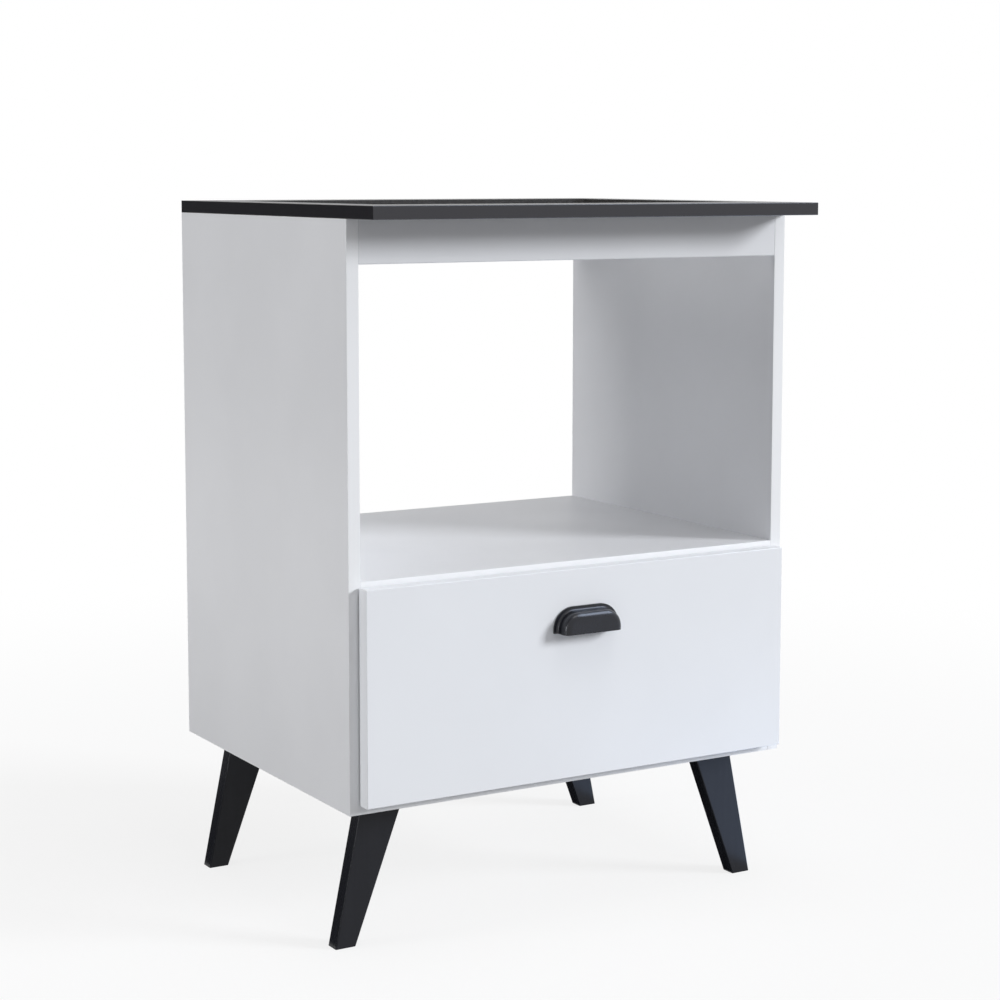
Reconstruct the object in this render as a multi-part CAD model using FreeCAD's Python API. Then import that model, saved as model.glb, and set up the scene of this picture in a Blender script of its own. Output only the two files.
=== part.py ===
import FreeCAD, Part
import math
import os

from FreeCAD import Vector

# A free-standing base cabinet for a built-in oven: white boards on four splayed black legs,
# a dark worktop with a hob cut-out, an open oven niche and one deep drawer below it.
# Units are millimetres. +X is right seen from the front, +Y is back, +Z is up.
# The origin is on the floor, under the middle of the worktop's outline.

# Carcass
carcass_width = 600.0
carcass_depth = 456.0
carcass_height = 667.0
board = 15.0
niche_floor_rise = 265.0
rail_height = 50.0

# Lower back panel, a thin sheet held in grooves
back_sheet = 3.0
back_inset = 12.0
groove_depth = 7.0
groove_clearance = 0.1

# Worktop with its hob cut-out
worktop_thickness = 15.0
worktop_overhang = 64.0
worktop_edge_radius = 1.0
hob_cut_width = 500.0
hob_cut_depth = 360.0
hob_cut_front_margin = 87.0
hob_cut_corner_radius = 12.0

# Legs: flat tapered boards that splay sideways
leg_height = 170.0
leg_thickness = 20.0
leg_top_width = 55.0
leg_foot_width = 26.0
leg_top_inset = 40.0
leg_foot_inset = 5.0
leg_front_setback = 48.0
leg_rear_setback = 29.0
leg_edge_chamfer = 0.8

# Drawer front, overlaid on the carcass
front_thickness = 18.0
front_gap = 2.0
front_side_inset = 12.0
front_rise = 11.0
front_shelf_cover = 9.0
front_edge_radius = 1.0

# Drawer box
drawer_length = 400.0
drawer_headroom = 33.0
drawer_lift = 22.0
drawer_side_clearance = 12.5
drawer_sheet = 3.0
drawer_groove_rise = 12.0
bumper_radius = 4.0
bumper_inset = 48.0
bumper_clearance = 0.3

# Roller runners in folded sheet steel
steel = 1.2
bend_radius = 0.8
runner_setback = 2.0
runner_length = 400.0
channel_flange = 10.5
channel_lip = 2.6
support_flange = 12.0
running_flange_tip = 2.4
front_roller_radius = 10.0
rear_roller_radius = 11.0
roller_width = 5.0
roller_standoff = 3.9
roller_bore_radius = 2.05
front_roller_inset = 12.0
rear_roller_inset = 13.0
running_flange_rise = 19.5
rolling_gap = 0.1
top_running_gap = 0.6
roller_above_flange = 0.4
stop_ear_height = 4.0
stop_gap = 0.3
flange_cover = 5.0
flange_notch_gap = 2.0
drawer_travel = 300.0

# Rivets that carry the rollers
journal_radius = 2.0
collar_radius = 3.2
rivet_head_radius = 3.6
rivet_head_height = 0.9
axial_gap = 0.3

# Cup handle
handle_width = 89.0
handle_height = 30.0
handle_depth = 21.0
handle_corner_radius = 26.0
handle_flange = 2.5
handle_flange_step = 5.0
handle_nose_radius = 8.0
handle_wall = 2.0
handle_nose_steps = 4
handle_hollow_steps = 2
handle_drop = 43.5
handle_screw_spacing = 48.0
handle_boss_radius = 4.0
handle_screw_radius = 2.0
handle_screw_head_radius = 4.0
handle_screw_head_height = 2.4
handle_screw_grip = 9.0

# Cam fittings and dowels that join the boards
cam_radius = 7.4
cam_setback = 34.0
cam_roof = 4.0
cam_slot_width = 1.6
cam_slot_depth = 1.4
bolt_radius = 2.5
bolt_grip = 11.0
bolt_head_radius = 3.3
bolt_head_length = 3.0
bolt_bore_radius = 4.0
dowel_radius = 4.0
dowel_length = 30.0
dowel_grip = 10.0
panel_joint_inset = 100.0
fit = 0.1

# Small hidden fasteners and their holes are drawn with flats, to keep the model light
pin_face_count = 8
head_face_count = 10

# Screws
wood_screw_radius = 2.0
wood_screw_head_radius = 3.5
wood_screw_head_height = 1.1
leg_screw_radius = 2.5
leg_screw_head_radius = 5.0
leg_screw_head_height = 2.8
leg_screw_length = 50.0
leg_screw_inner_inset = 21.0
leg_screw_outer_inset = 12.0
worktop_screw_length = 45.0
worktop_screw_sink = 14.0
worktop_screw_spacing = 360.0
runner_screw_length = 14.0
runner_screw_setback = 37.0
runner_screw_spacing = 224.0
profile_screw_length = 12.0
back_screw_length = 45.0
back_screw_edge = 30.0
bottom_screw_length = 20.0
bottom_screw_spacing = 300.0

# Places that follow from the sizes above
half_width = carcass_width / 2
half_inner = half_width - board
worktop_depth = carcass_depth + worktop_overhang
worktop_front = -worktop_depth / 2
worktop_back = worktop_depth / 2
carcass_front = worktop_front + worktop_overhang
carcass_back = carcass_front + carcass_depth
carcass_bottom = leg_height
carcass_top = leg_height + carcass_height
bottom_top = carcass_bottom + board
shelf_top = carcass_bottom + niche_floor_rise
shelf_bottom = shelf_top - board
rail_bottom = carcass_top - rail_height

front_back = carcass_front - front_gap
front_face = front_back - front_thickness
front_bottom = carcass_bottom + front_rise
front_top = shelf_bottom + front_shelf_cover

box_outer = half_inner - drawer_side_clearance
box_inner = box_outer - board
box_bottom = bottom_top + drawer_lift
box_top = shelf_bottom - drawer_headroom
box_back = front_back + drawer_length
sheet_bottom = box_bottom + drawer_groove_rise
sheet_top = sheet_bottom + drawer_sheet

running_flange = box_bottom + running_flange_rise
rear_axle_height = running_flange + steel + roller_above_flange - rear_roller_radius
front_axle_height = running_flange - rolling_gap - front_roller_radius
channel_floor = rear_axle_height - rear_roller_radius - rolling_gap
channel_ceiling = rear_axle_height + rear_roller_radius + top_running_gap
runner_front = carcass_front + runner_setback
runner_back = runner_front + runner_length
front_axle_place = runner_front + front_roller_inset
rear_axle_place = box_back - rear_roller_inset

handle_bottom = front_top - handle_drop - handle_height

LEFT, RIGHT = -1, 1
SIDES = {"left": LEFT, "right": RIGHT}
ACROSS, BACK, UP = Vector(1, 0, 0), Vector(0, 1, 0), Vector(0, 0, 1)


def block(x0, x1, y0, y1, z0, z1):
    """A box between two values on each axis, given in either order."""
    low = Vector(min(x0, x1), min(y0, y1), min(z0, z1))
    return Part.makeBox(abs(x1 - x0), abs(y1 - y0), abs(z1 - z0), low)


def prism(points, sweep):
    """A flat outline of points pushed along a vector."""
    return Part.Face(Part.makePolygon(points + points[:1])).extrude(sweep)


def pin(radius, start, direction, length, faces=pin_face_count):
    """A small pin or drilled hole, whose corners lie on its radius."""
    across = BACK if abs(direction.dot(ACROSS)) > 0.5 else ACROSS
    upright = direction.cross(across)
    turns = [2 * math.pi * step / faces for step in range(faces)]
    return prism([start + across * (radius * math.cos(turn)) + upright * (radius * math.sin(turn))
                  for turn in turns], direction * length)


def stepped_pin(start, direction, steps):
    """Pins end to end along a direction, from (radius, length, face count) steps."""
    solids = []
    for radius, length, faces in steps:
        solids.append(pin(radius, start, direction, length, faces))
        start = start + direction * length
    return solids[0].multiFuse(solids[1:]).removeSplitter()


def turned(outline, start, direction):
    """A solid turned about a line, from (radius, distance along the line) pairs."""
    points = [Vector(r, 0, along) for r, along in outline]
    face = Part.Face(Part.makePolygon(points + points[:1]))
    solid = face.revolve(Vector(), UP, 360)
    solid.Placement = FreeCAD.Placement(start, FreeCAD.Rotation(UP, direction))
    return solid


def cut(solid, tools):
    """The solid less every tool, with leftover seams merged."""
    return solid.cut(Part.makeCompound(list(tools))).removeSplitter()


def group(solids):
    """Several separate solids kept as one node."""
    return Part.makeCompound(list(solids))


class CamJoint:
    """A cam fitting: a bolt fixed in one board pulls the end of another board against it."""

    def __init__(self, origin, into_mate, to_cam_face, board_depth=board):
        self.origin = origin
        self.into_mate = into_mate
        self.to_cam_face = to_cam_face
        self.half_board = board_depth / 2
        self.cam_axis = origin - into_mate * cam_setback
        self.cam_mouth = self.cam_axis + to_cam_face * self.half_board
        self.cam_height = self.half_board + bolt_head_radius + 2 * fit

    def pilot(self):
        """The hole that the bolt is screwed into."""
        return pin(bolt_radius, self.origin, self.into_mate, bolt_grip)

    def bores(self):
        """The bolt's passage and the cam's round pocket in the board that is pulled."""
        passage = pin(bolt_bore_radius, self.origin, -self.into_mate, cam_setback)
        pocket = pin(cam_radius + fit, self.cam_mouth, -self.to_cam_face, self.cam_height,
                     head_face_count)
        return passage.fuse(pocket)

    def bolt(self):
        """The bolt, from its thread's end to the head inside the cam."""
        neck = bolt_grip + cam_setback + bolt_head_radius - bolt_head_length
        return stepped_pin(self.origin + self.into_mate * bolt_grip, -self.into_mate,
                           [(bolt_radius, neck, pin_face_count),
                            (bolt_head_radius, bolt_head_length, pin_face_count)])

    def cam(self):
        """The cam: a slotted disc with a channel for the bolt's head."""
        disc = pin(cam_radius, self.cam_mouth, -self.to_cam_face, self.cam_height, head_face_count)
        across = self.into_mate.cross(self.to_cam_face)
        half_channel = bolt_head_radius + fit
        depth = self.cam_height - cam_roof
        length = cam_radius + bolt_head_radius + 2 * fit
        corner = self.cam_mouth - self.to_cam_face * cam_roof
        corner = corner - self.into_mate * (bolt_head_radius + 2 * fit) - across * half_channel
        channel = prism([corner,
                         corner + across * 2 * half_channel,
                         corner + across * 2 * half_channel + self.into_mate * length,
                         corner + self.into_mate * length],
                        -self.to_cam_face * depth)
        return cut(disc, [channel, self.driver_slot(across)])

    def driver_slot(self, across):
        """The screwdriver slot in the cam's visible face."""
        reach = cam_radius - 2 * cam_slot_width
        corner = self.cam_mouth - across * reach - self.into_mate * (cam_slot_width / 2)
        return prism([corner,
                      corner + across * 2 * reach,
                      corner + across * 2 * reach + self.into_mate * cam_slot_width,
                      corner + self.into_mate * cam_slot_width],
                     -self.to_cam_face * cam_slot_depth)


class DowelJoint:
    """A glued wooden dowel across the joint between two boards."""

    def __init__(self, origin, into_mate):
        self.origin = origin
        self.into_mate = into_mate

    def hole_in_mate(self):
        return pin(dowel_radius, self.origin, self.into_mate, dowel_grip + fit)

    def hole_in_end(self):
        return pin(dowel_radius, self.origin, -self.into_mate, dowel_length - dowel_grip + fit)

    def dowel(self):
        start = self.origin + self.into_mate * dowel_grip
        return pin(dowel_radius, start, -self.into_mate, dowel_length)


class Screw:
    """A pan-head screw whose head rests on a surface and whose shank goes into the boards."""

    def __init__(self, seat, into, length, radius=wood_screw_radius,
                 head_radius=wood_screw_head_radius, head_height=wood_screw_head_height):
        self.seat = seat
        self.into = into
        self.length = length
        self.radius = radius
        self.head_radius = head_radius
        self.head_height = head_height

    def solid(self):
        return stepped_pin(self.seat - self.into * self.head_height, self.into,
                           [(self.head_radius, self.head_height, head_face_count),
                            (self.radius, self.length, pin_face_count)])

    def hole(self):
        """The hole that the shank fills, a little deeper than the screw is long."""
        return pin(self.radius, self.seat, self.into, self.length + fit)

    def clearance_pocket(self, depth):
        """A pocket behind the head, for a screw that is sunk below the surface."""
        return pin(self.head_radius + 5 * fit, self.seat, -self.into, depth, head_face_count)


# Joints of the carcass
panel_joint_places = (carcass_front + panel_joint_inset, carcass_back - panel_joint_inset)
rail_cam_height = rail_bottom + rail_height * 0.3
rail_dowel_height = rail_bottom + rail_height * 0.7
front_rail_middle = carcass_front + board / 2
rear_rail_middle = carcass_back - board / 2


def panel_cams(side, panel_bottom):
    """The cam joints at one end of a horizontal panel, with the cams in its underside."""
    return [CamJoint(Vector(side * half_inner, place, panel_bottom + board / 2), ACROSS * side, -UP)
            for place in panel_joint_places]


def rail_cam(side, middle, to_cam_face):
    """The cam joint at one end of a top rail."""
    return CamJoint(Vector(side * half_inner, middle, rail_cam_height), ACROSS * side, to_cam_face)


def rail_dowel(side, middle):
    """The dowel above the cam at one end of a top rail."""
    return DowelJoint(Vector(side * half_inner, middle, rail_dowel_height), ACROSS * side)


bottom_cams = {side: panel_cams(side, carcass_bottom) for side in (LEFT, RIGHT)}
shelf_cams = {side: panel_cams(side, shelf_bottom) for side in (LEFT, RIGHT)}
front_rail_cams = {side: [rail_cam(side, front_rail_middle, BACK)] for side in (LEFT, RIGHT)}
rear_rail_cams = {side: [rail_cam(side, rear_rail_middle, -BACK)] for side in (LEFT, RIGHT)}
front_rail_dowels = {side: [rail_dowel(side, front_rail_middle)] for side in (LEFT, RIGHT)}
rear_rail_dowels = {side: [rail_dowel(side, rear_rail_middle)] for side in (LEFT, RIGHT)}


def carcass_cams(side):
    return bottom_cams[side] + shelf_cams[side] + front_rail_cams[side] + rear_rail_cams[side]


def carcass_dowels(side):
    return front_rail_dowels[side] + rear_rail_dowels[side]


def both(joints):
    """The joints of the left end, then those of the right end."""
    return joints[LEFT] + joints[RIGHT]


# Screws of the carcass
def leg_screws(side, middle):
    """The two screws through the bottom panel into one leg's top."""
    outer = half_width - leg_top_inset
    inner = outer - leg_top_width
    return [Screw(Vector(side * x, middle, bottom_top), -UP, leg_screw_length, leg_screw_radius,
                  leg_screw_head_radius, leg_screw_head_height)
            for x in (outer - leg_screw_outer_inset, inner + leg_screw_inner_inset)]


def worktop_screws(middle):
    """The two screws up through one rail into the worktop, sunk into the rail."""
    return [Screw(Vector(side * worktop_screw_spacing / 2, middle, rail_bottom + worktop_screw_sink),
                  UP, worktop_screw_length)
            for side in (LEFT, RIGHT)]


def runner_screws(side):
    """The screws that hold one channel to its side panel."""
    middle = (channel_floor + channel_ceiling) / 2
    first = carcass_front + runner_screw_setback
    return [Screw(Vector(side * (half_inner - steel), place, middle), ACROSS * side,
                  runner_screw_length)
            for place in (first, first + runner_screw_spacing)]


front_leg_middle = carcass_front + leg_front_setback + leg_thickness / 2
rear_leg_middle = carcass_back - leg_rear_setback - leg_thickness / 2
leg_places = {"front": front_leg_middle, "rear": rear_leg_middle}


def side_panel(side):
    """A carcass side with its joint holes and the stopped groove of the lower back panel."""
    panel = block(side * half_inner, side * half_width, carcass_front, carcass_back,
                  carcass_bottom, carcass_top)
    groove_back = carcass_back - back_inset
    groove = block(side * half_inner, side * (half_inner + groove_depth),
                   groove_back - back_sheet - 2 * groove_clearance, groove_back,
                   bottom_top - groove_depth, shelf_bottom + groove_depth)
    holes = [joint.pilot() for joint in carcass_cams(side)]
    holes += [joint.hole_in_mate() for joint in carcass_dowels(side)]
    holes += [screw.hole() for screw in runner_screws(side)]
    return cut(panel, [groove] + holes)


def sheet_groove(z0, z1):
    """The groove for the lower back panel across a horizontal panel."""
    groove_back = carcass_back - back_inset
    return block(-half_inner, half_inner, groove_back - back_sheet - 2 * groove_clearance,
                 groove_back, z0, z1)


def bottom_panel():
    """The carcass floor, between the sides, which carries the legs."""
    panel = block(-half_inner, half_inner, carcass_front, carcass_back, carcass_bottom, bottom_top)
    tools = [joint.bores() for joint in both(bottom_cams)]
    tools += [screw.hole() for side in (LEFT, RIGHT) for middle in leg_places.values()
              for screw in leg_screws(side, middle)]
    tools.append(sheet_groove(bottom_top - groove_depth, bottom_top))
    return cut(panel, tools)


def oven_shelf():
    """The niche's floor, which the oven stands on."""
    panel = block(-half_inner, half_inner, carcass_front, carcass_back, shelf_bottom, shelf_top)
    tools = [joint.bores() for joint in both(shelf_cams)]
    tools.append(sheet_groove(shelf_bottom, shelf_bottom + groove_depth))
    return cut(panel, tools)


def top_rail(middle, cams, dowels):
    """An upright rail between the sides, under the worktop's front or back."""
    rail = block(-half_inner, half_inner, middle - board / 2, middle + board / 2,
                 rail_bottom, carcass_top)
    tools = [joint.bores() for joint in both(cams)]
    tools += [joint.hole_in_end() for joint in both(dowels)]
    for screw in worktop_screws(middle):
        tools += [screw.hole(), screw.clearance_pocket(worktop_screw_sink)]
    return cut(rail, tools)


def lower_back_panel():
    """The thin sheet that closes the drawer bay at the back."""
    reach = groove_depth - groove_clearance
    front = carcass_back - back_inset - groove_clearance - back_sheet
    return block(-half_inner - reach, half_inner + reach, front, front + back_sheet,
                 bottom_top - reach, shelf_bottom + reach)


def worktop():
    """The worktop, flush with the carcass at its sides and back, with the hob cut-out."""
    slab = block(-half_width, half_width, worktop_front, worktop_back,
                 carcass_top, carcass_top + worktop_thickness)
    upper = [edge for edge in slab.Edges
             if edge.BoundBox.ZMin > carcass_top + worktop_thickness / 2]
    slab = slab.makeFillet(worktop_edge_radius, upper)
    front = worktop_front + hob_cut_front_margin
    opening = block(-hob_cut_width / 2, hob_cut_width / 2, front, front + hob_cut_depth,
                    carcass_top, carcass_top + worktop_thickness)
    upright = [edge for edge in opening.Edges if edge.BoundBox.ZLength > worktop_thickness / 2]
    opening = opening.makeFillet(hob_cut_corner_radius, upright)
    holes = [screw.hole() for middle in (front_rail_middle, rear_rail_middle)
             for screw in worktop_screws(middle)]
    return cut(slab, [opening] + holes)


def leg(side, middle):
    """A flat leg that tapers to its foot and splays outwards."""
    outer_top = half_width - leg_top_inset
    outer_foot = half_width - leg_foot_inset
    front = middle - leg_thickness / 2
    outline = [Vector(side * outer_top, front, carcass_bottom),
               Vector(side * outer_foot, front, 0),
               Vector(side * (outer_foot - leg_foot_width), front, 0),
               Vector(side * (outer_top - leg_top_width), front, carcass_bottom)]
    solid = prism(outline, BACK * leg_thickness)
    long_edges = [edge for edge in solid.Edges if edge.BoundBox.ZLength > leg_height / 2]
    solid = solid.makeChamfer(leg_edge_chamfer, long_edges)
    return cut(solid, [screw.hole() for screw in leg_screws(side, middle)])


# Drawer joints
def drawer_cam(side):
    """The cam joint between one drawer side and the drawer front, opening into the drawer."""
    height = box_bottom + 0.7 * (box_top - box_bottom)
    origin = Vector(side * (box_outer - board / 2), front_back, height)
    return CamJoint(origin, -BACK, -ACROSS * side)


def drawer_dowel(side):
    """The dowel below the cam."""
    height = box_bottom + 0.3 * (box_top - box_bottom)
    origin = Vector(side * (box_outer - board / 2), front_back, height)
    return DowelJoint(origin, -BACK)


def drawer_back_screws(side):
    """The screws through one drawer side into the end of the drawer back, heads sunk flush."""
    return [Screw(Vector(side * (box_outer - wood_screw_head_height), box_back - board / 2, height),
                  -ACROSS * side, back_screw_length)
            for height in (sheet_top + back_screw_edge, box_top - back_screw_edge)]


def drawer_bottom_screws():
    """The screws up through the drawer bottom into the drawer back."""
    return [Screw(Vector(side * bottom_screw_spacing / 2, box_back - board / 2, sheet_bottom), UP,
                  bottom_screw_length)
            for side in (LEFT, RIGHT)]


def support_screws(side):
    """The screws up through one drawer profile into the drawer side's lower edge."""
    first = front_back + runner_screw_setback
    return [Screw(Vector(side * (box_outer - board / 2), place, box_bottom - steel), UP,
                  profile_screw_length)
            for place in (first, first + runner_screw_spacing)]


def handle_screws():
    """The machine screws through the drawer front into the handle's bosses."""
    height = handle_bottom + handle_height / 2
    return [Screw(Vector(side * handle_screw_spacing / 2, front_back, height), -BACK,
                  front_thickness + handle_screw_grip, handle_screw_radius,
                  handle_screw_head_radius, handle_screw_head_height)
            for side in (LEFT, RIGHT)]


def drawer_front():
    """The overlaid front, eased round its face, grooved behind for the bottom."""
    half = half_width - front_side_inset
    panel = block(-half, half, front_face, front_back, front_bottom, front_top)
    face_edges = [edge for edge in panel.Edges if edge.BoundBox.YMax < front_face + front_thickness / 2]
    panel = panel.makeFillet(front_edge_radius, face_edges)
    reach = box_inner + groove_depth
    groove = block(-reach, reach, front_back - groove_depth, front_back,
                   sheet_bottom, sheet_top + groove_clearance)
    tools = [groove]
    for side in (LEFT, RIGHT):
        tools += [drawer_cam(side).pilot(), drawer_dowel(side).hole_in_mate()]
    tools += [screw.hole() for screw in handle_screws()]
    return cut(panel, tools)


def drawer_side(side):
    """One side of the drawer box, grooved for its bottom."""
    panel = block(side * box_inner, side * box_outer, front_back, box_back, box_bottom, box_top)
    groove = block(side * box_inner, side * (box_inner + groove_depth), front_back, box_back,
                   sheet_bottom, sheet_top + groove_clearance)
    tools = [groove, drawer_cam(side).bores(), drawer_dowel(side).hole_in_end()]
    for screw in drawer_back_screws(side):
        tools += [screw.hole(), screw.clearance_pocket(wood_screw_head_height)]
    tools += [screw.hole() for screw in support_screws(side)]
    return cut(panel, tools)


def drawer_back():
    """The back of the drawer box, standing on the drawer bottom."""
    panel = block(-box_inner, box_inner, box_back - board, box_back, sheet_top, box_top)
    screws = drawer_back_screws(LEFT) + drawer_back_screws(RIGHT) + drawer_bottom_screws()
    return cut(panel, [screw.hole() for screw in screws])


def drawer_bottom():
    """The thin sheet in the grooves of the drawer box."""
    reach = box_inner + groove_depth - groove_clearance
    sheet = block(-reach, reach, front_back - groove_depth + groove_clearance, box_back,
                  sheet_bottom, sheet_top)
    return cut(sheet, [screw.hole() for screw in drawer_bottom_screws()])


def drawer_bumpers():
    """Soft discs behind the front's top corners, which meet the oven shelf's edge."""
    half = half_width - front_side_inset
    height = (shelf_bottom + front_top) / 2
    return group(pin(bumper_radius, Vector(side * (half - bumper_inset), front_back, height), BACK,
                     front_gap - bumper_clearance, head_face_count)
                 for side in (LEFT, RIGHT))


def place_in_gap(side, away, depth, height):
    """A point in the gap beside the drawer, by its distance from the side panel."""
    return Vector(side * (half_inner - away), depth, height)


def folded_strip(side, section, bends, start, length):
    """A sheet steel profile along Y, with its section's named corners rounded as bends.

    The section and the bends' corners are (distance from the side panel, height) pairs, and each
    bend also gives its radius.
    """
    strip = prism([place_in_gap(side, away, start, height) for away, height in section],
                  BACK * length)
    for away, height, radius in bends:
        corner = place_in_gap(side, away, start, height)
        edges = [edge for edge in strip.Edges
                 if edge.BoundBox.YLength > length / 2
                 and abs(edge.BoundBox.Center.x - corner.x) < fit
                 and abs(edge.BoundBox.Center.z - corner.z) < fit]
        strip = strip.makeFillet(radius, edges)
    return strip


def stop_distance(roller_radius):
    """How far ahead of its axle a roller meets the stop ear."""
    above_ear = roller_radius + rolling_gap - stop_ear_height
    return math.sqrt(roller_radius ** 2 - above_ear ** 2)


def channel_profile(side):
    """The channel on the carcass side that the drawer's rear roller runs in.

    Its upper flange starts behind the stop ear, so that the drawer can be dropped in there.
    """
    under, over = channel_floor - steel, channel_ceiling + steel
    lip_top = channel_floor + channel_lip - steel
    lip_inside = channel_flange - steel
    outer_bend = bend_radius + steel
    section = [(0, under), (channel_flange, under), (channel_flange, lip_top),
               (lip_inside, lip_top), (lip_inside, channel_floor), (steel, channel_floor),
               (steel, channel_ceiling), (channel_flange, channel_ceiling),
               (channel_flange, over), (0, over)]
    bends = [(0, under, outer_bend), (steel, channel_floor, bend_radius),
             (0, over, outer_bend), (steel, channel_ceiling, bend_radius)]
    channel = folded_strip(side, section, bends, runner_front, runner_length)

    opened_roller = rear_axle_place - drawer_travel
    ear_back = opened_roller - stop_distance(rear_roller_radius) - stop_gap
    ear = block(side * (half_inner - roller_standoff),
                side * (half_inner - roller_standoff - roller_width),
                ear_back - steel, ear_back, channel_floor - steel / 2,
                channel_floor + stop_ear_height)
    end_tab = block(side * (half_inner - steel / 2), side * (half_inner - lip_inside),
                    runner_back - steel, runner_back, channel_floor - steel / 2, rear_axle_height)
    channel = channel.multiFuse([ear, end_tab])

    flange_start = opened_roller - flange_cover
    drop_in = block(side * (half_inner - steel), side * (half_inner - channel_flange),
                    runner_front, flange_start, channel_ceiling - bend_radius, over)
    rivet_hole = pin(journal_radius, place_in_gap(side, 0, front_axle_place, front_axle_height),
                     -ACROSS * side, steel, head_face_count)
    return cut(channel, [drop_in, rivet_hole] + [screw.hole() for screw in runner_screws(side)])


def drawer_profile(side):
    """The profile under a drawer side, whose outer flange rides on the front roller."""
    web = drawer_side_clearance - steel
    under, over = box_bottom - steel, running_flange + steel
    outer_bend = bend_radius + steel
    section = [(web, under), (drawer_side_clearance + support_flange, under),
               (drawer_side_clearance + support_flange, box_bottom),
               (drawer_side_clearance, box_bottom), (drawer_side_clearance, over),
               (running_flange_tip, over), (running_flange_tip, running_flange),
               (web, running_flange)]
    bends = [(web, under, steel), (web, running_flange, bend_radius),
             (drawer_side_clearance, over, outer_bend)]
    strip = folded_strip(side, section, bends, front_back, drawer_length)
    notch_front = rear_axle_place - rear_roller_radius - flange_notch_gap
    notch = block(side * (half_inner - web), side * (half_inner - running_flange_tip),
                  notch_front, box_back, running_flange - bend_radius, over)
    rivet_hole = pin(journal_radius, place_in_gap(side, web, rear_axle_place, rear_axle_height),
                     -ACROSS * side, steel, head_face_count)
    return cut(strip, [notch, rivet_hole] + [screw.hole() for screw in support_screws(side)])


def rivet(start, direction, collar_length):
    """A rivet from a profile's far face: tail, collar, journal and head."""
    journal = roller_width + 2 * axial_gap
    return stepped_pin(start, direction, [(journal_radius, steel, head_face_count),
                                          (collar_radius, collar_length, head_face_count),
                                          (journal_radius, journal, head_face_count),
                                          (rivet_head_radius, rivet_head_height, head_face_count)])


def front_rivet(side):
    """The rivet of a front roller, fixed in the channel."""
    return rivet(place_in_gap(side, 0, front_axle_place, front_axle_height), -ACROSS * side,
                 roller_standoff - axial_gap - steel)


def rear_rivet(side):
    """The rivet of a rear roller, fixed in the drawer profile."""
    roller_far_face = roller_standoff + roller_width
    return rivet(place_in_gap(side, drawer_side_clearance, rear_axle_place, rear_axle_height),
                 ACROSS * side, drawer_side_clearance - steel - roller_far_face - axial_gap)


def roller(radius, start, direction):
    """A nylon roller, bored for its rivet."""
    return turned([(roller_bore_radius, 0), (radius, 0), (radius, roller_width),
                   (roller_bore_radius, roller_width)], start, direction)


def front_roller(side):
    """The roller that turns on the channel's front rivet."""
    start = place_in_gap(side, roller_standoff, front_axle_place, front_axle_height)
    return roller(front_roller_radius, start, -ACROSS * side)


def rear_roller(side):
    """The roller that turns on the drawer profile's rear rivet."""
    start = place_in_gap(side, roller_standoff, rear_axle_place, rear_axle_height)
    return roller(rear_roller_radius, start, -ACROSS * side)


def arch(inset, depth, foot):
    """The handle's arched outline, drawn in by an inset, at a depth before the drawer front."""
    half = handle_width / 2 - inset
    top = handle_bottom + handle_height - inset
    radius = handle_corner_radius - inset
    slope = radius * math.sqrt(0.5)
    y = front_face - depth

    def shoulder(side):
        centre = Vector(side * (half - radius), y, top - radius)
        return Part.Arc(centre + ACROSS * side * radius,
                        centre + ACROSS * side * slope + UP * slope,
                        centre + UP * radius).toShape()

    def line(start, end):
        return Part.makeLine(Vector(start[0], y, start[1]), Vector(end[0], y, end[1]))

    left, right = shoulder(LEFT), shoulder(RIGHT)
    return Part.Wire([line((-half, foot), (-half, top - radius)), left,
                      line((radius - half, top), (half - radius, top)), right,
                      line((half, top - radius), (half, foot)), line((half, foot), (-half, foot))])


def cup(inset, depth, nose_radius, foot, steps):
    """A cup lofted through arches that close in round its nose, open along its foot."""
    outlines = [arch(inset, 0, foot)]
    for step in range(steps + 1):
        turn = math.pi / 2 * step / steps
        outlines.append(arch(inset + nose_radius * (1 - math.cos(turn)),
                             depth - nose_radius * (1 - math.sin(turn)), foot))
    return Part.makeLoft(outlines, True, True)


def handle():
    """The black cup handle: a rim on the drawer front and a hollow bulged cup, open below."""
    rim = Part.Face(arch(0, 0, handle_bottom)).extrude(-BACK * handle_flange)
    shell = cup(handle_flange_step, handle_depth, handle_nose_radius, handle_bottom,
                handle_nose_steps)
    hollow = cup(handle_flange_step + handle_wall, handle_depth - handle_wall,
                 handle_nose_radius - handle_wall, handle_bottom - handle_wall,
                 handle_hollow_steps)
    height = handle_bottom + handle_height / 2
    bosses = [pin(handle_boss_radius, Vector(side * handle_screw_spacing / 2, front_face, height),
                  -BACK, handle_depth - handle_wall / 2, head_face_count)
              for side in (LEFT, RIGHT)]
    body = cut(rim.fuse(shell), [hollow])
    return cut(body.multiFuse(bosses), [screw.hole() for screw in handle_screws()])


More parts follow.
